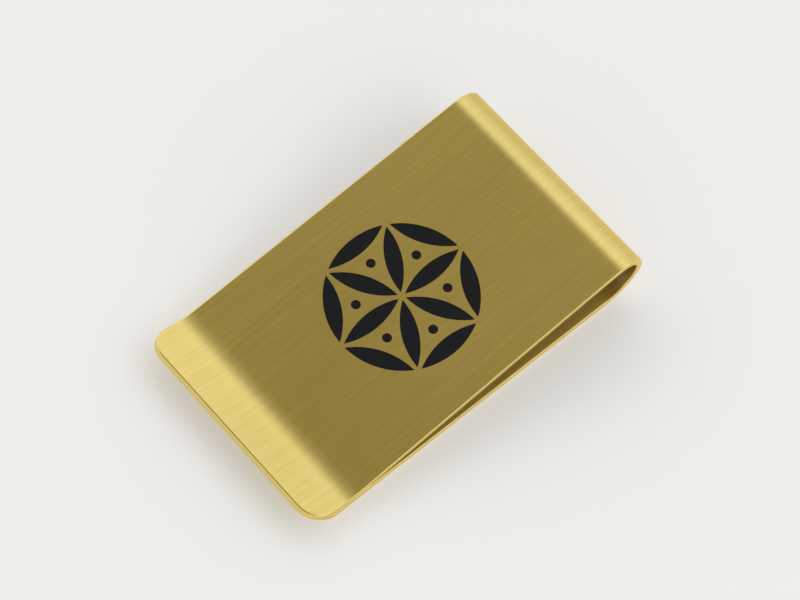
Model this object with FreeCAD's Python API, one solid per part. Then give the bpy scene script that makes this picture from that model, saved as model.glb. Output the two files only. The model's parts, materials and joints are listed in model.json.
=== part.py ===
import FreeCAD, Part
import math
import os

# A money clip: one strip of spring brass, folded back on itself into a narrow U.
# It lies on its back leaf. Millimetres and degrees. +X runs along the strip from the
# flared lip to the fold, +Y across it, +Z up. The origin is the middle of the clip's
# outline, on the face it lies on.

# ---- driving dimensions -------------------------------------------------------------
clip_length = 45.0          # fold to lip, over everything
strip_width = 25.0
sheet_thickness = 0.8
edge_radius = 0.15          # tumbled edges of the strip
corner_radius = 2.4         # rounded corners at both free ends of the strip
fold_outer_radius = 4.0
pinch_to_fold_end = 39.7    # from the outside of the fold to the line where the leaves meet
pinch_bend_radius = 7.0     # hollow side of the bend between the front leaf and the lip
pinch_gap = 0.12            # left between the leaves at the pinch, so that they are two bodies
lip_flare = 17.0            # lip above level
back_leaf_setback = 1.2     # the back leaf ends this much short of the lip's tip

mark_radius = 8.1           # engraved six-petal rosette on the front leaf
mark_to_fold_end = 21.7     # from the outside of the fold to the rosette's middle
mark_depth = 0.10
fill_recess = 0.03          # the dark fill stops this far below the face
petal_margin = 0.2          # bright metal left along each side of a petal
petal_tip_margin = 0.42     # bright metal left beyond each tip of a petal
dot_radius = 0.5
petal_count = 6

# ---- derived ------------------------------------------------------------------------
fold_inner_radius = fold_outer_radius - sheet_thickness
fold_centre = FreeCAD.Vector(clip_length / 2 - fold_outer_radius, 0, fold_outer_radius)
pinch_outer_radius = pinch_bend_radius + sheet_thickness
pinch_centre = FreeCAD.Vector(
    clip_length / 2 - pinch_to_fold_end,
    0,
    sheet_thickness + pinch_gap + pinch_outer_radius,
)

# The front leaf is the straight run that crosses over from the outside of the fold to
# the far side of the pinch bend, tangent to both.
centres_along = fold_centre.x - pinch_centre.x
centres_down = fold_centre.z - pinch_centre.z
arm_sum = fold_outer_radius + pinch_bend_radius
front_leaf_length = math.sqrt(centres_along**2 + centres_down**2 - arm_sum**2)
front_leaf_slope = math.degrees(
    math.atan2(centres_down, centres_along) + math.atan2(arm_sum, front_leaf_length)
)
fold_angle = 180 + front_leaf_slope
pinch_angle = front_leaf_slope + lip_flare

# The rounded rim takes a little off the lip's lower corner, so the lip is that much longer.
flare_cos = math.cos(math.radians(lip_flare))
flare_sin = math.sin(math.radians(lip_flare))
rim_loss = edge_radius * (flare_cos + flare_sin - 1)
lip_length = (
    pinch_centre.x + clip_length / 2 + rim_loss - pinch_outer_radius * flare_sin
) / flare_cos
back_leaf_length = clip_length - fold_outer_radius - back_leaf_setback

y_axis = FreeCAD.Vector(0, 1, 0)
z_axis = FreeCAD.Vector(0, 0, 1)

# The front leaf's own frame is centred on the fold's axis and turned down by the slope:
# there the leaf runs along -X, between the fold's inner and outer radius in Z.
front_frame = FreeCAD.Placement(
    fold_centre, FreeCAD.Rotation(y_axis, -front_leaf_slope)
)
# The lip's own frame is centred on the pinch bend and turned up by the flare.
lip_frame = FreeCAD.Placement(pinch_centre, FreeCAD.Rotation(y_axis, lip_flare))
mark_along = (fold_centre.x - (clip_length / 2 - mark_to_fold_end)) / math.cos(
    math.radians(front_leaf_slope)
)


def strip_section(height):
    """The strip's cross-section in the YZ plane, its lower side at the given height."""
    half = strip_width / 2 - edge_radius
    low = height + edge_radius
    high = height + sheet_thickness - edge_radius
    corners = [(half, low, -90), (half, high, 0), (-half, high, 90), (-half, low, 180)]
    arcs = []
    for y, z, start in corners:
        points = []
        for turn in (0, 45, 90):
            angle = math.radians(start + turn)
            dy = edge_radius * math.cos(angle)
            dz = edge_radius * math.sin(angle)
            points.append(FreeCAD.Vector(0, y + dy, z + dz))
        arcs.append(Part.Arc(*points).toShape())
    edges = []
    for arc, following in zip(arcs, arcs[1:] + arcs[:1]):
        edges.append(arc)
        edges.append(Part.makeLine(arc.lastVertex().Point, following.firstVertex().Point))
    return Part.Face(Part.Wire(edges))


def straight_run(length, height):
    """A straight piece of strip along -X from the YZ plane, its lower side at the given height."""
    return strip_section(height).extrude(FreeCAD.Vector(-length, 0, 0))


def rounded_end_run(length, height):
    """A straight run whose far end has rounded corners, with the same rounded rim all round."""
    half = strip_width / 2
    diagonal = corner_radius * (1 - math.sqrt(0.5))
    far = -length
    near_right = FreeCAD.Vector(0, -half, height)
    side_right = FreeCAD.Vector(far + corner_radius, -half, height)
    mid_right = FreeCAD.Vector(far + diagonal, -half + diagonal, height)
    end_right = FreeCAD.Vector(far, -half + corner_radius, height)
    end_left = FreeCAD.Vector(far, half - corner_radius, height)
    mid_left = FreeCAD.Vector(far + diagonal, half - diagonal, height)
    side_left = FreeCAD.Vector(far + corner_radius, half, height)
    near_left = FreeCAD.Vector(0, half, height)
    outline = Part.Wire(
        [
            Part.makeLine(near_right, side_right),
            Part.Arc(side_right, mid_right, end_right).toShape(),
            Part.makeLine(end_right, end_left),
            Part.Arc(end_left, mid_left, side_left).toShape(),
            Part.makeLine(side_left, near_left),
            Part.makeLine(near_left, near_right),
        ]
    )
    plate = Part.Face(outline).extrude(z_axis * sheet_thickness)
    rim = []
    for edge in plate.Edges:
        box = edge.BoundBox
        if box.ZLength < edge_radius and box.XMin < -edge_radius:
            rim.append(edge)
    return plate.makeFillet(edge_radius, rim)


def back_leaf():
    """The flat leaf that lies behind the notes."""
    leaf = rounded_end_run(back_leaf_length, 0)
    leaf.translate(FreeCAD.Vector(fold_centre.x, 0, 0))
    return leaf


def spring_fold():
    """The bend that joins the two leaves and springs them together."""
    section = strip_section(0)
    section.translate(FreeCAD.Vector(fold_centre.x, 0, 0))
    return section.revolve(fold_centre, -y_axis, fold_angle)


def petal(middle, along, depth_from, depth_to):
    """A pointed-oval prism on the front leaf, the lens between two compass arcs."""
    half_length = mark_radius / 2 - petal_tip_margin
    half_width = mark_radius * (1 - math.cos(math.pi / petal_count)) - petal_margin
    across = FreeCAD.Vector(-along.y, along.x, 0)
    tip_a = middle - along * half_length
    tip_b = middle + along * half_length
    side_a = Part.Arc(tip_a, middle + across * half_width, tip_b).toShape()
    side_b = Part.Arc(tip_b, middle - across * half_width, tip_a).toShape()
    lens = Part.Face(Part.Wire([side_a, side_b]))
    lens.translate(z_axis * (fold_outer_radius - depth_from))
    return lens.extrude(z_axis * (depth_from - depth_to))


def mark_direction(angle):
    """Unit vector in the front leaf's plane."""
    turn = math.radians(angle)
    return FreeCAD.Vector(math.cos(turn), math.sin(turn), 0)


def mark_spokes(depth_from, depth_to):
    """Petals that radiate from the middle of the rosette."""
    middle = FreeCAD.Vector(-mark_along, 0, 0)
    petals = []
    for k in range(petal_count):
        out = mark_direction(360 / petal_count * k)
        petals.append(petal(middle + out * (mark_radius / 2), out, depth_from, depth_to))
    return Part.makeCompound(petals)


def mark_rim(depth_from, depth_to):
    """Petals that close the rosette's rim, each between the tips of two spokes."""
    middle = FreeCAD.Vector(-mark_along, 0, 0)
    half_step = 180 / petal_count
    reach = mark_radius * math.cos(math.radians(half_step))
    petals = []
    for k in range(petal_count):
        out = mark_direction(half_step * (2 * k + 1))
        along = FreeCAD.Vector(-out.y, out.x, 0)
        petals.append(petal(middle + out * reach, along, depth_from, depth_to))
    return Part.makeCompound(petals)


def mark_dots(depth_from, depth_to):
    """Round dots in the three-sided fields between the petals, each at its field's middle."""
    middle = FreeCAD.Vector(-mark_along, 0, fold_outer_radius - depth_from)
    half_step = 180 / petal_count
    reach = mark_radius / math.sqrt(3)
    dots = []
    for k in range(petal_count):
        out = mark_direction(half_step * (2 * k + 1))
        base = middle + out * reach
        dots.append(Part.makeCylinder(dot_radius, depth_from - depth_to, base, z_axis))
    return Part.makeCompound(dots)


def front_leaf():
    """The sloping leaf over the notes, with the rosette cut into its face."""
    leaf = straight_run(front_leaf_length, fold_inner_radius)
    for cutter in (mark_spokes, mark_rim, mark_dots):
        leaf = leaf.cut(cutter(mark_depth, -mark_depth))
    leaf.Placement = front_frame
    return leaf.Solids[0]


def mark_fill(pattern):
    """The dark fill that lies in the cuts of one part of the rosette."""
    fill = pattern(mark_depth, fill_recess)
    fill.Placement = front_frame
    return fill


def pinch_bend():
    """The rounded bend that presses on the notes."""
    section = strip_section(fold_inner_radius)
    section.translate(FreeCAD.Vector(-front_leaf_length, 0, 0))
    section.Placement = front_frame.multiply(section.Placement)
    return section.revolve(pinch_centre, y_axis, pinch_angle)


def flared_lip():
    """The turned-up end that leads the notes in."""
    lip = rounded_end_run(lip_length, -pinch_outer_radius)
    lip.Placement = lip_frame
    return lip


nodes = {
    "back_leaf": back_leaf(),
    "spring_fold": spring_fold(),
    "front_leaf": front_leaf(),
    "pinch_bend": pinch_bend(),
    "flared_lip": flared_lip(),
    "mark_spoke_fill": mark_fill(mark_spokes),
    "mark_rim_fill": mark_fill(mark_rim),
    "mark_dot_fill": mark_fill(mark_dots),
}

os.makedirs("parts", exist_ok=True)
for name, shape in nodes.items():
    shape.exportStep(f"parts/{name}.step")
    print(name, shape.isValid(), len(shape.Solids), round(shape.Volume, 3), shape.BoundBox)
print("hinge axis at", fold_centre, "front leaf slope", round(front_leaf_slope, 3))
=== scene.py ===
import json
import math

import bmesh
import bpy
from mathutils import Matrix, Vector


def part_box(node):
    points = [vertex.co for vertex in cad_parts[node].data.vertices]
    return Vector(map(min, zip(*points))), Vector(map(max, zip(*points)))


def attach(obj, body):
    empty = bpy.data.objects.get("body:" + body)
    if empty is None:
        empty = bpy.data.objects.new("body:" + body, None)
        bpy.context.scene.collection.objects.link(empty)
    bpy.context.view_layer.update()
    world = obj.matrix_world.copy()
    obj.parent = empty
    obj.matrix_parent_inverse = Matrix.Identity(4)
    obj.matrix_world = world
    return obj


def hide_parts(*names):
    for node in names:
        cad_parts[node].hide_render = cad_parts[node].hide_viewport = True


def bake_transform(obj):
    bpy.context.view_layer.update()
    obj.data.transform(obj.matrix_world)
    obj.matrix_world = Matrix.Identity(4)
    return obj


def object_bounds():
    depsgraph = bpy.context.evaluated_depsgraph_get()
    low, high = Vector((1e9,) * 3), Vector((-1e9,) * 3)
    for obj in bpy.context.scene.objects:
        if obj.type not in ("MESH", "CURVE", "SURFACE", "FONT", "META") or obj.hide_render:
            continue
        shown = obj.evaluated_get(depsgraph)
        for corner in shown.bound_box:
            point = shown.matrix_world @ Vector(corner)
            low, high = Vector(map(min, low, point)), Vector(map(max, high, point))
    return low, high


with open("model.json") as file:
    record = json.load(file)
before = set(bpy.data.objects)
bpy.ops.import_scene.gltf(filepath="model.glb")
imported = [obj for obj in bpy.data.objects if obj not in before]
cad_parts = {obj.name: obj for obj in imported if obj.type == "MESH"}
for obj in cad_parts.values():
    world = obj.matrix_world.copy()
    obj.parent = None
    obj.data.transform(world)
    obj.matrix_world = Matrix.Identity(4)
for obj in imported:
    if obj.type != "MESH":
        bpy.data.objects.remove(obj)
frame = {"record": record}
cad_low, cad_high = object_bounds()

# A money clip: one strip of brushed gold-tone metal folded into a narrow U, with a flared
# lip and an engraved six-petal rosette filled in black. Metres. +X runs from the lip to
# the fold, +Y across the strip, +Z up. The strip is drawn as three pieces that meet in
# flat stretches: the back leaf, the fold, and the front leaf with its lip.

# ---- sizes that the frame doesn't state ----------------------------------------------
MM = 0.001
EDGE_RADIUS = 0.15 * MM         # tumbled edges of the strip
CORNER_RADIUS = 2.4 * MM        # rounded corners at both free ends
PINCH_RADIUS = 7.0 * MM         # hollow side of the bend before the lip
FOLD_TAIL = 1.0 * MM            # flat stretch at each end of the fold's piece
MARK_RADIUS = 8.1 * MM          # the rosette
MARK_DEPTH = 0.10 * MM
FILL_RECESS = 0.03 * MM
FILL_DISH = 0.012 * MM          # the fill's surface sinks this much more in its middle
PETAL_MARGIN = 0.2 * MM
PETAL_TIP_MARGIN = 0.42 * MM
DOT_RADIUS = 0.5 * MM
PETALS = 6

# ---- how finely the surfaces are divided ---------------------------------------------
CELLS_ACROSS = 16
RIM_STEPS = 6
CORNER_STEPS = 12
BEND_STEP = math.radians(2.5)
FLAT_STEP = 1.5 * MM
SUPPORT = 0.03 * MM             # narrow cell beside each rounded edge, which keeps flats flat
SHARP_ANGLE = math.radians(35)
PETAL_STEPS = 28
DOT_STEPS = 32
FILL_RINGS = 5
WELD_DISTANCE = 0.0005 * MM     # points of a cut that are closer than this are one point
FLOOR_CELLS = 8

# ---- the strip's shape, worked out from the frame ------------------------------------
hinge = frame["record"]["behaviour"]["joints"][0]
fold_centre = Vector(hinge["pos_m"])
back_low, back_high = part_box("back_leaf")
leaf_low, leaf_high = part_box("front_leaf")
bend_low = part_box("pinch_bend")[0]
lip_low, lip_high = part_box("flared_lip")

thickness = back_high.z - back_low.z
half_width = back_high.y
fold_outer = fold_centre.z - back_low.z
fold_inner = fold_outer - thickness
slope = math.asin((fold_centre.x - leaf_high.x) / fold_inner)
leaf_length = (fold_centre.z + fold_inner * math.cos(slope) - leaf_low.z) / math.sin(slope)
flare = math.asin((lip_high.x - bend_low.x) / thickness)

leaf_turn = Matrix.Rotation(-slope, 3, "Y")
lip_turn = Matrix.Rotation(flare, 3, "Y")
pinch_centre = fold_centre + leaf_turn @ Vector((-leaf_length, 0, fold_outer + PINCH_RADIUS))
pinch_outer = PINCH_RADIUS + thickness
rim_loss = EDGE_RADIUS * (math.cos(flare) + math.sin(flare) - 1)
lip_reach = pinch_centre.x - lip_low.x + rim_loss - pinch_outer * math.sin(flare)
lip_length = lip_reach / math.cos(flare)
# The rosette's middle, measured along the leaf from the fold's axis.
mark_low, mark_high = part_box("mark_rim_fill")
mark_middle_x = (mark_low.x + mark_high.x) / 2
mark_middle_height = fold_outer - (MARK_DEPTH + FILL_RECESS) / 2
mark_shift = mark_middle_x - fold_centre.x + mark_middle_height * math.sin(slope)
mark_along = mark_shift / math.cos(slope)


# ---- mesh helpers ---------------------------------------------------------------------
def make_object(name, bm):
    """A smooth-shaded object from a bmesh, with its real corners kept sharp."""
    bmesh.ops.recalc_face_normals(bm, faces=bm.faces)
    mesh = bpy.data.meshes.new(name)
    bm.to_mesh(mesh)
    bm.free()
    mesh.shade_smooth()
    mesh.set_sharp_from_angle(angle=SHARP_ANGLE)
    piece = bpy.data.objects.new(name, mesh)
    bpy.context.scene.collection.objects.link(piece)
    return piece


def spread(start, end, step):
    """Evenly spaced values from start to end, no further apart than step."""
    count = max(1, math.ceil(abs(end - start) / step))
    return [start + (end - start) * k / count for k in range(count + 1)]


def rim_profile():
    """(inset, height) round the strip's edge from its upper face to its lower face."""
    upper = []
    for k in range(RIM_STEPS + 1):
        angle = math.pi / 2 * k / RIM_STEPS
        inset = EDGE_RADIUS * (1 - math.sin(angle))
        upper.append((inset, thickness - EDGE_RADIUS + EDGE_RADIUS * math.cos(angle)))
    lower = [(inset, thickness - height) for inset, height in reversed(upper)]
    return upper + lower


def across_places():
    """Places from -1 to 1 of a face's lengthwise edges, with a narrow cell at each side."""
    narrow = SUPPORT / half_width
    inner = spread(-1 + narrow, 1 - narrow, 2 / CELLS_ACROSS)
    return [-1.0] + inner + [1.0]


RIM = rim_profile()
RIM_INSIDE = RIM[1:-1]          # the rim without the edges that it shares with the faces
ACROSS = across_places()


class Station:
    """One cross-section of a strip: where it is, which way the strip runs and faces there,
    its half width, and how far its outline has turned into the end's corner."""

    def __init__(self, place, forward, up, half=None, corner=0.0):
        self.place = place
        self.forward = forward
        self.up = up
        self.half = half_width if half is None else half
        self.corner = corner

    def point(self, inset, height, side):
        """A point on the section; side runs from -1 to 1 across the strip."""
        along = -inset * math.sin(self.corner)
        across = side * (self.half - inset * math.cos(self.corner))
        return self.place + self.forward * along + self.up * height + Vector((0, across, 0))


def section_loop(station):
    """The section's points, each with 1.0 if it is on the rim, or 0.0 on a face. They go
    once round: upper face, right rim, lower face, left rim."""
    edge_inset, top = RIM[0]
    bottom = RIM[-1][1]
    loop = [(station.point(edge_inset, top, side), 0.0) for side in ACROSS]
    loop += [(station.point(inset, height, 1), 1.0) for inset, height in RIM_INSIDE]
    loop += [(station.point(edge_inset, bottom, side), 0.0) for side in reversed(ACROSS)]
    loop += [(station.point(inset, height, -1), 1.0) for inset, height in reversed(RIM_INSIDE)]
    return loop


def sweep(name, stations, rounded_end):
    """A closed strip through the stations; its last end is a rounded free end if asked."""
    bm = bmesh.new()
    rim_layer = bm.verts.layers.float.new("rim")
    rings = []
    for station in stations:
        ring = []
        for point, on_rim in section_loop(station):
            vertex = bm.verts.new(point)
            vertex[rim_layer] = on_rim
            ring.append(vertex)
        rings.append(ring)
    for ring, following in zip(rings, rings[1:]):
        for k in range(len(ring)):
            n = (k + 1) % len(ring)
            bm.faces.new((ring[k], ring[n], following[n], following[k]))
    bm.faces.new(rings[0])
    if rounded_end:
        close_end(bm, rim_layer, stations[-1], rings[-1])
    else:
        bm.faces.new(rings[-1])
    return make_object(name, bm)


def close_end(bm, rim_layer, station, ring):
    """The rounded rim along the end line, between the section's two sides."""
    count = len(ACROSS)
    rows = [ring[:count]]
    for k, (inset, height) in enumerate(RIM_INSIDE):
        right = ring[count + k]
        left = ring[-1 - k]
        row = [left]
        for side in ACROSS[1:-1]:
            vertex = bm.verts.new(station.point(inset, height, side))
            vertex[rim_layer] = 1.0
            row.append(vertex)
        row.append(right)
        rows.append(row)
    lower_start = count + len(RIM_INSIDE)
    rows.append(list(reversed(ring[lower_start : lower_start + count])))
    for row, following in zip(rows, rows[1:]):
        for k in range(count - 1):
            bm.faces.new((row[k], row[k + 1], following[k + 1], following[k]))


def straight(turn, centre, start, end, low):
    """Stations along a straight run in a frame turned about a bend's centre, from start to
    end along its -X, its lower face at height low."""
    forward = turn @ Vector((-1, 0, 0))
    up = turn @ Vector((0, 0, 1))
    return [
        Station(centre + turn @ Vector((-s, 0, low)), forward, up)
        for s in spread(start, end, FLAT_STEP)
    ]


def rounded_corner(turn, centre, end, low):
    """Stations through the corners at a run's free end."""
    forward = turn @ Vector((-1, 0, 0))
    up = turn @ Vector((0, 0, 1))
    stations = []
    for k in range(CORNER_STEPS + 1):
        angle = math.pi / 2 * k / CORNER_STEPS
        along = end - CORNER_RADIUS * (1 - math.sin(angle))
        half = half_width - CORNER_RADIUS * (1 - math.cos(angle))
        place = centre + turn @ Vector((-along, 0, low))
        stations.append(Station(place, forward, up, half, angle))
    return stations


# ---- the strip's three pieces ---------------------------------------------------------
def back_leaf_strip():
    """The flat leaf behind the notes. It starts a little way past the fold."""
    level = Matrix.Identity(3)
    base = Vector((fold_centre.x, 0, back_low.z))
    length = fold_centre.x - back_low.x
    stations = straight(level, base, FOLD_TAIL, length - CORNER_RADIUS, 0)
    stations += rounded_corner(level, base, length, 0)[1:]
    return sweep("back_leaf_strip", stations, True)


def fold_strip():
    """The bend between the leaves, with a short flat tail on each of them."""
    stations = []
    for s in spread(FOLD_TAIL, 0, FLAT_STEP):
        place = Vector((fold_centre.x - s, 0, back_high.z))
        stations.append(Station(place, Vector((1, 0, 0)), Vector((0, 0, -1))))
    for angle in spread(0, math.pi + slope, BEND_STEP)[1:]:
        inward = Vector((-math.sin(angle), 0, math.cos(angle)))
        forward = Vector((math.cos(angle), 0, math.sin(angle)))
        stations.append(Station(fold_centre - inward * fold_inner, forward, -inward))
    stations += straight(leaf_turn, fold_centre, 0, FOLD_TAIL, fold_inner)[1:]
    return sweep("fold_strip", stations, False)


def front_leaf_strip():
    """The face, the pinch bend and the flared lip, as one run of metal."""
    stations = straight(leaf_turn, fold_centre, FOLD_TAIL, leaf_length, fold_inner)
    for angle in spread(-slope, flare, BEND_STEP)[1:]:
        turn = Matrix.Rotation(angle, 3, "Y")
        place = pinch_centre + turn @ Vector((0, 0, -pinch_outer))
        forward = turn @ Vector((-1, 0, 0))
        stations.append(Station(place, forward, turn @ Vector((0, 0, 1))))
    straight_end = lip_length - CORNER_RADIUS
    stations += straight(lip_turn, pinch_centre, 0, straight_end, -pinch_outer)[1:]
    stations += rounded_corner(lip_turn, pinch_centre, lip_length, -pinch_outer)[1:]
    return sweep("front_leaf_strip", stations, True)


# ---- the engraving --------------------------------------------------------------------
def mark_frame(point, height):
    """A point of the rosette, on the front leaf at a height above the fold's axis."""
    local = Vector((mark_along + point.x, point.y, height))
    return fold_centre + leaf_turn @ local


def petal_outline(middle, along):
    """Points round a pointed oval, the lens between two compass arcs."""
    half_length = MARK_RADIUS / 2 - PETAL_TIP_MARGIN
    half_wide = MARK_RADIUS * (1 - math.cos(math.pi / PETALS)) - PETAL_MARGIN
    arc_radius = (half_length**2 + half_wide**2) / (2 * half_wide)
    arc_half = math.asin(half_length / arc_radius)
    across = Vector((-along.y, along.x))
    points = []
    for side in (1, -1):
        for k in range(PETAL_STEPS):
            angle = arc_half * (2 * k / PETAL_STEPS - 1)
            forward = arc_radius * math.sin(angle) * side
            sideways = (arc_radius * math.cos(angle) - arc_radius + half_wide) * side
            points.append(middle + along * forward - across * sideways)
    return points


def dot_outline(middle):
    """Points round a dot."""
    return [
        middle + DOT_RADIUS * Vector((math.cos(a), math.sin(a)))
        for a in (2 * math.pi * k / DOT_STEPS for k in range(DOT_STEPS))
    ]


def spoke_outlines():
    """Petals that radiate from the rosette's middle, each as its middle and its outline."""
    outlines = []
    for k in range(PETALS):
        angle = 2 * math.pi * k / PETALS
        out = Vector((math.cos(angle), math.sin(angle)))
        middle = out * MARK_RADIUS / 2
        outlines.append((middle, petal_outline(middle, out)))
    return outlines


def between_spokes():
    """Directions halfway between the spokes."""
    for k in range(PETALS):
        angle = math.pi / PETALS * (2 * k + 1)
        yield Vector((math.cos(angle), math.sin(angle)))


def rim_outlines():
    """Petals round the rim, each between the tips of two spokes."""
    reach = MARK_RADIUS * math.cos(math.pi / PETALS)
    return [
        (out * reach, petal_outline(out * reach, Vector((-out.y, out.x))))
        for out in between_spokes()
    ]


def dot_outlines():
    """Dots in the three-sided fields between the petals."""
    reach = MARK_RADIUS / math.sqrt(3)
    return [(out * reach, dot_outline(out * reach)) for out in between_spokes()]


def cut_prism(bm, outline, low, high):
    """An upright closed prism on the front leaf."""
    lower = [bm.verts.new(mark_frame(p, low)) for p in outline]
    upper = [bm.verts.new(mark_frame(p, high)) for p in outline]
    bm.faces.new(list(reversed(lower)))
    bm.faces.new(upper)
    for k in range(len(outline)):
        n = (k + 1) % len(outline)
        bm.faces.new((lower[k], lower[n], upper[n], upper[k]))


def engrave(leaf):
    """Cuts the rosette into the front leaf's face."""
    bm = bmesh.new()
    for _, outline in spoke_outlines() + rim_outlines() + dot_outlines():
        cut_prism(bm, outline, fold_outer - MARK_DEPTH, fold_outer + MARK_DEPTH)
    cutter = make_object("mark_cutter", bm)
    cut = leaf.modifiers.new("engraving", "BOOLEAN")
    cut.operation = "DIFFERENCE"
    cut.solver = "EXACT"
    cut.object = cutter
    bpy.context.view_layer.update()
    graph = bpy.context.evaluated_depsgraph_get()
    mesh = bpy.data.meshes.new_from_object(leaf.evaluated_get(graph))
    weld(mesh)
    leaf.modifiers.clear()
    leaf.data = mesh
    mesh.name = leaf.name
    mesh.shade_smooth()
    mesh.set_sharp_from_angle(angle=SHARP_ANGLE)
    bpy.data.objects.remove(cutter)


def weld(mesh):
    """Joins the points that a cut leaves on top of each other and splits its large faces."""
    bm = bmesh.new()
    bm.from_mesh(mesh)
    bmesh.ops.remove_doubles(bm, verts=bm.verts, dist=WELD_DISTANCE)
    large = [face for face in bm.faces if len(face.verts) > 4]
    bmesh.ops.triangulate(bm, faces=large, ngon_method="BEAUTY")
    bm.to_mesh(mesh)
    bm.free()


def fill_piece(name, outlines):
    """Dark fill in one part of the rosette: closed shapes whose surface dishes slightly."""
    bm = bmesh.new()
    floor_height = fold_outer - MARK_DEPTH
    face_height = fold_outer - FILL_RECESS
    for middle, outline in outlines:
        bottom = [bm.verts.new(mark_frame(p, floor_height)) for p in outline]
        bm.faces.new(list(reversed(bottom)))
        below = bottom
        for ring in range(FILL_RINGS):
            inward = ring / FILL_RINGS
            sink = FILL_DISH * (1 - (1 - inward) ** 2)
            level = [
                bm.verts.new(mark_frame(p.lerp(middle, inward), face_height - sink))
                for p in outline
            ]
            for k in range(len(outline)):
                n = (k + 1) % len(outline)
                bm.faces.new((below[k], below[n], level[n], level[k]))
            below = level
        peak = bm.verts.new(mark_frame(middle, face_height - FILL_DISH))
        for k in range(len(outline)):
            bm.faces.new((below[k], below[(k + 1) % len(outline)], peak))
    return make_object(name, bm)


# ---- materials ------------------------------------------------------------------------
# Noises: the scale per metre on each axis, the detail and the roughness.
SCRATCHES = ((160, 8000, 160), 5.0, 0.72)
STREAKS = ((60, 2600, 60), 4.0, 0.6)
CLOUDS = ((35, 45, 35), 1.0, 0.5)
MOTTLE = ((2600, 2600, 2600), 3.0, 0.6)
FLOOR_CLOUDS = ((9, 9, 9), 2.0, 0.5)
NOISE_SPAN = (0.3, 0.7)         # where most of a noise's values lie

# How much each noise adds to the gold's tone. They sum to 1.
STREAKS_SHARE = 0.4
CLOUDS_SHARE = 0.3
SCRATCHES_SHARE = 0.3

# Colour ramps: (position, colour) stops.
GOLD_TONES = [
    (0.37, (0.690, 0.535, 0.166)),
    (0.51, (0.750, 0.584, 0.189)),
    (0.64, (0.810, 0.634, 0.214)),
]
FILL_TONES = [(0.35, (0.004, 0.0045, 0.007)), (0.7, (0.010, 0.011, 0.016))]
FLOOR_TONES = [(0.3, (0.92, 0.92, 0.92)), (0.7, (0.94, 0.94, 0.94))]
RIM_GOLD = (0.80, 0.63, 0.21)

GOLD_ROUGHNESS = (0.28, 0.34)
RIM_SMOOTHER = -0.10            # what the tumbled rim adds to the roughness
FILL_ROUGHNESS = (0.5, 0.7)
BUMP_HEIGHT = 0.004 * MM
TANGENT_LIFT = 0.03             # keeps the tangent off the normal on the rim's sides


def set_stops(node, stops):
    """Gives a colour ramp node its opaque (position, colour) stops."""
    elements = node.color_ramp.elements
    while len(elements) < len(stops):
        elements.new(1.0)
    for element, (position, colour) in zip(elements, stops):
        element.position = position
        element.color = (*colour, 1.0)


class Nodes:
    """Short calls for building one material's node tree."""

    def __init__(self, name):
        self.material = bpy.data.materials.new(name)
        self.material.use_nodes = True
        self.tree = self.material.node_tree
        self.shader = self.tree.nodes["Principled BSDF"]

    def add(self, kind, **settings):
        """A new node with its settings."""
        node = self.tree.nodes.new(kind)
        for key, value in settings.items():
            setattr(node, key, value)
        return node

    def link(self, source, target):
        """Links an output to an input."""
        self.tree.links.new(source, target)

    def noise(self, scale, detail, roughness):
        """Noise in the piece's own coordinates, with a different scale on each axis."""
        place = self.add("ShaderNodeTexCoord")
        mapping = self.add("ShaderNodeMapping")
        mapping.inputs["Scale"].default_value = scale
        noise = self.add("ShaderNodeTexNoise")
        noise.inputs["Scale"].default_value = 1.0
        noise.inputs["Detail"].default_value = detail
        noise.inputs["Roughness"].default_value = roughness
        self.link(place.outputs["Object"], mapping.inputs["Vector"])
        self.link(mapping.outputs["Vector"], noise.inputs["Vector"])
        return noise.outputs["Fac"]

    def ramp(self, value, stops):
        """The colour that a ramp gives to a value."""
        node = self.add("ShaderNodeValToRGB")
        set_stops(node, stops)
        self.link(value, node.inputs["Fac"])
        return node.outputs["Color"]

    def spread(self, value, limits):
        """Maps a noise linearly onto a range, clamped to its limits."""
        node = self.add("ShaderNodeMapRange")
        node.inputs["From Min"].default_value = NOISE_SPAN[0]
        node.inputs["From Max"].default_value = NOISE_SPAN[1]
        node.inputs["To Min"].default_value = limits[0]
        node.inputs["To Max"].default_value = limits[1]
        self.link(value, node.inputs["Value"])
        return node.outputs["Result"]

    def arithmetic(self, operation, a, b):
        """Adds or multiplies a link and another link or number."""
        node = self.add("ShaderNodeMath", operation=operation)
        for slot, value in enumerate((a, b)):
            if isinstance(value, float):
                node.inputs[slot].default_value = value
            else:
                self.link(value, node.inputs[slot])
        return node.outputs["Value"]

    def mix(self, factor, a, b):
        """Blends two colours by a linked factor."""
        node = self.add("ShaderNodeMix", data_type="RGBA")
        self.link(factor, node.inputs["Factor"])
        for socket, value in ((node.inputs["A"], a), (node.inputs["B"], b)):
            if isinstance(value, tuple):
                socket.default_value = (*value, 1.0)
            else:
                self.link(value, socket)
        return node.outputs["Result"]

    def bump(self, height):
        """The surface's normal, with a linked height as fine relief."""
        node = self.add("ShaderNodeBump")
        node.inputs["Strength"].default_value = 1.0
        node.inputs["Distance"].default_value = BUMP_HEIGHT
        self.link(height, node.inputs["Height"])
        return node.outputs["Normal"]


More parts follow.
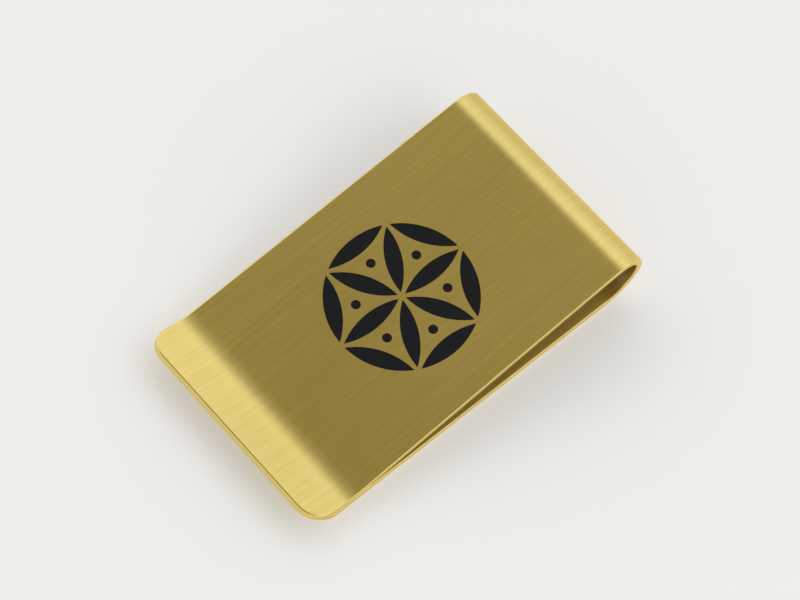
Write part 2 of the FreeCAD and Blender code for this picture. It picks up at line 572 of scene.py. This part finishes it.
def brushed_gold():
    """Satin gold-tone metal, brushed along the strip, with its edges polished by tumbling."""
    n = Nodes("brushed_gold")
    scratches = n.noise(*SCRATCHES)
    streaks = n.arithmetic("MULTIPLY", n.noise(*STREAKS), STREAKS_SHARE)
    clouds = n.arithmetic("MULTIPLY", n.noise(*CLOUDS), CLOUDS_SHARE)
    fine = n.arithmetic("MULTIPLY", scratches, SCRATCHES_SHARE)
    tone = n.arithmetic("ADD", n.arithmetic("ADD", streaks, clouds), fine)
    rim = n.add("ShaderNodeAttribute", attribute_name="rim").outputs["Fac"]
    colour = n.mix(rim, n.ramp(tone, GOLD_TONES), RIM_GOLD)
    n.link(colour, n.shader.inputs["Base Color"])

    grain = n.spread(scratches, GOLD_ROUGHNESS)
    worn = n.arithmetic("MULTIPLY", rim, RIM_SMOOTHER)
    n.link(n.arithmetic("ADD", grain, worn), n.shader.inputs["Roughness"])

    n.link(n.bump(scratches), n.shader.inputs["Normal"])
    n.shader.inputs["Metallic"].default_value = 1.0
    n.shader.inputs["Anisotropic"].default_value = 0.6
    # Seen along its surface the metal stays gold, where a plain metal would turn white.
    n.shader.inputs["Specular Tint"].default_value = (0.97, 0.88, 0.62, 1.0)
    # The scratches run along the strip, so the gloss spreads across it.
    across = n.add("ShaderNodeCombineXYZ")
    across.inputs["Y"].default_value = 1.0
    across.inputs["Z"].default_value = TANGENT_LIFT
    n.link(across.outputs["Vector"], n.shader.inputs["Tangent"])
    return n.material


def dark_fill():
    """Matt blue-black fill, very slightly mottled."""
    n = Nodes("dark_fill")
    mottle = n.noise(*MOTTLE)
    n.link(n.ramp(mottle, FILL_TONES), n.shader.inputs["Base Color"])
    n.link(n.spread(mottle, FILL_ROUGHNESS), n.shader.inputs["Roughness"])
    n.link(n.bump(mottle), n.shader.inputs["Normal"])
    n.shader.inputs["Specular IOR Level"].default_value = 0.22
    return n.material


def pale_floor():
    """Plain matt white, barely uneven and faintly lit from below, as a light table is."""
    n = Nodes("pale_floor")
    n.link(n.ramp(n.noise(*FLOOR_CLOUDS), FLOOR_TONES), n.shader.inputs["Base Color"])
    n.shader.inputs["Roughness"].default_value = 0.9
    n.shader.inputs["Specular IOR Level"].default_value = 0.1
    n.shader.inputs["Emission Color"].default_value = (0.93, 0.94, 1.0, 1.0)
    n.shader.inputs["Emission Strength"].default_value = 0.23
    return n.material


def dress(piece, material):
    """Gives a piece its material and the record's slot."""
    piece.data.materials.clear()
    piece.data.materials.append(material)


# ---- build ----------------------------------------------------------------------------
gold = brushed_gold()
black = dark_fill()

back = back_leaf_strip()
dress(back, gold)
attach(back, "back")
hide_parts("back_leaf")

fold = fold_strip()
dress(fold, gold)
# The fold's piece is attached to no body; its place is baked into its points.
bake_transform(fold)
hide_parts("spring_fold")

front = front_leaf_strip()
engrave(front)
dress(front, gold)
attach(front, "front")
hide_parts("front_leaf", "pinch_bend", "flared_lip")

for name, node, outlines in (
    ("mark_spoke_enamel", "mark_spoke_fill", spoke_outlines()),
    ("mark_rim_enamel", "mark_rim_fill", rim_outlines()),
    ("mark_dot_enamel", "mark_dot_fill", dot_outlines()),
):
    fill = fill_piece(name, outlines)
    dress(fill, black)
    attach(fill, "front")
    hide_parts(node)


# ---- floor, light and camera ----------------------------------------------------------
FLOOR_SIZE = 6.0
FLOOR_GAP = 0.01 * MM
LIGHT_DISTANCE = 2.5
# The room's colour by how near a direction is to the darkest part of its ceiling, as the
# cosine of the angle between them. Below 0 it stays the first colour.
DARKEST_CEILING = Vector((-0.30, 0.0, 0.954))
ROOM_LIGHT = [
    (0.00, (0.69, 0.69, 0.70)),
    (0.30, (0.87, 0.88, 0.90)),
    (0.60, (0.93, 0.94, 0.97)),
    (0.78, (0.375, 0.347, 0.245)),
    (1.00, (0.230, 0.204, 0.092)),
]

CAMERA_AZIMUTH = math.radians(-45.5)
CAMERA_ELEVATION = math.radians(69.0)
CAMERA_UP = math.radians(48.3)  # which way on the leaf is up in the picture, from +X to +Y
CAMERA_DISTANCE = 240 * MM
LENS = 108                      # in mm, as is the sensor's width
SENSOR_WIDTH = 36
NEAREST_SEEN = 0.005
FURTHEST_SEEN = 20


def make_floor():
    """A plain pale floor just under the clip."""
    bm = bmesh.new()
    bmesh.ops.create_grid(bm, x_segments=FLOOR_CELLS, y_segments=FLOOR_CELLS, size=FLOOR_SIZE / 2)
    floor = make_object("floor", bm)
    floor.location = (0, 0, cad_low.z - FLOOR_GAP)
    floor.data.materials.append(pale_floor())


def softbox(name, direction, width, height, radiance, colour=(1, 1, 1)):
    """A rectangular soft light that faces the clip and looks as bright as radiance."""
    light = bpy.data.lights.new(name, "AREA")
    light.shape = "RECTANGLE"
    light.size = width
    light.size_y = height
    light.energy = radiance * math.pi * width * height
    light.color = colour
    lamp = bpy.data.objects.new(name, light)
    bpy.context.scene.collection.objects.link(lamp)
    towards = Vector(direction).normalized()
    lamp.location = towards * LIGHT_DISTANCE
    lamp.rotation_euler = towards.to_track_quat("Z", "Y").to_euler()


def make_world():
    """A pale room, brightest halfway up its walls and dim and warm overhead."""
    world = bpy.data.worlds.new("room")
    bpy.context.scene.world = world
    world.use_nodes = True
    tree = world.node_tree
    background = tree.nodes["Background"]
    place = tree.nodes.new("ShaderNodeTexCoord")
    nearness = tree.nodes.new("ShaderNodeVectorMath")
    nearness.operation = "DOT_PRODUCT"
    nearness.inputs[1].default_value = DARKEST_CEILING
    ramp = tree.nodes.new("ShaderNodeValToRGB")
    set_stops(ramp, ROOM_LIGHT)
    tree.links.new(place.outputs["Generated"], nearness.inputs[0])
    tree.links.new(nearness.outputs["Value"], ramp.inputs["Fac"])
    tree.links.new(ramp.outputs["Color"], background.inputs["Color"])


def make_camera():
    """Looks down on the face from the lip's end, with the fold to the upper right. The
    angles are measured on the front leaf, as the photograph shows it."""
    flat = math.cos(CAMERA_ELEVATION)
    side = math.sin(CAMERA_AZIMUTH) * flat
    front = -math.cos(CAMERA_AZIMUTH) * flat
    away = leaf_turn @ Vector((side, front, math.sin(CAMERA_ELEVATION)))
    up = leaf_turn @ Vector((math.cos(CAMERA_UP), math.sin(CAMERA_UP), 0))
    up = (up - away * up.dot(away)).normalized()
    right = up.cross(away)
    turn = Matrix((right, up, away)).transposed()
    target = (cad_low + cad_high) / 2
    data = bpy.data.cameras.new("camera")
    data.lens = LENS
    data.sensor_width = SENSOR_WIDTH
    data.clip_start = NEAREST_SEEN
    data.clip_end = FURTHEST_SEEN
    camera = bpy.data.objects.new("camera", data)
    place = Matrix.Translation(target + away * CAMERA_DISTANCE)
    camera.matrix_world = place @ turn.to_4x4()
    bpy.context.scene.collection.objects.link(camera)
    bpy.context.scene.camera = camera


make_floor()
make_world()
softbox(
    "fold_side_light",
    direction=(0.82, 0.25, 0.54),
    width=3.8,
    height=2.5,
    radiance=0.26,
    colour=(0.76, 0.86, 1.0),
)
softbox("far_side_light", direction=(-0.1, 0.9, 0.45), width=4.6, height=2.0, radiance=0.28)
softbox("near_side_light", direction=(0.45, -0.85, 0.42), width=4.0, height=1.9, radiance=0.26)
make_camera()
bpy.context.scene.view_settings.view_transform = "Standard"
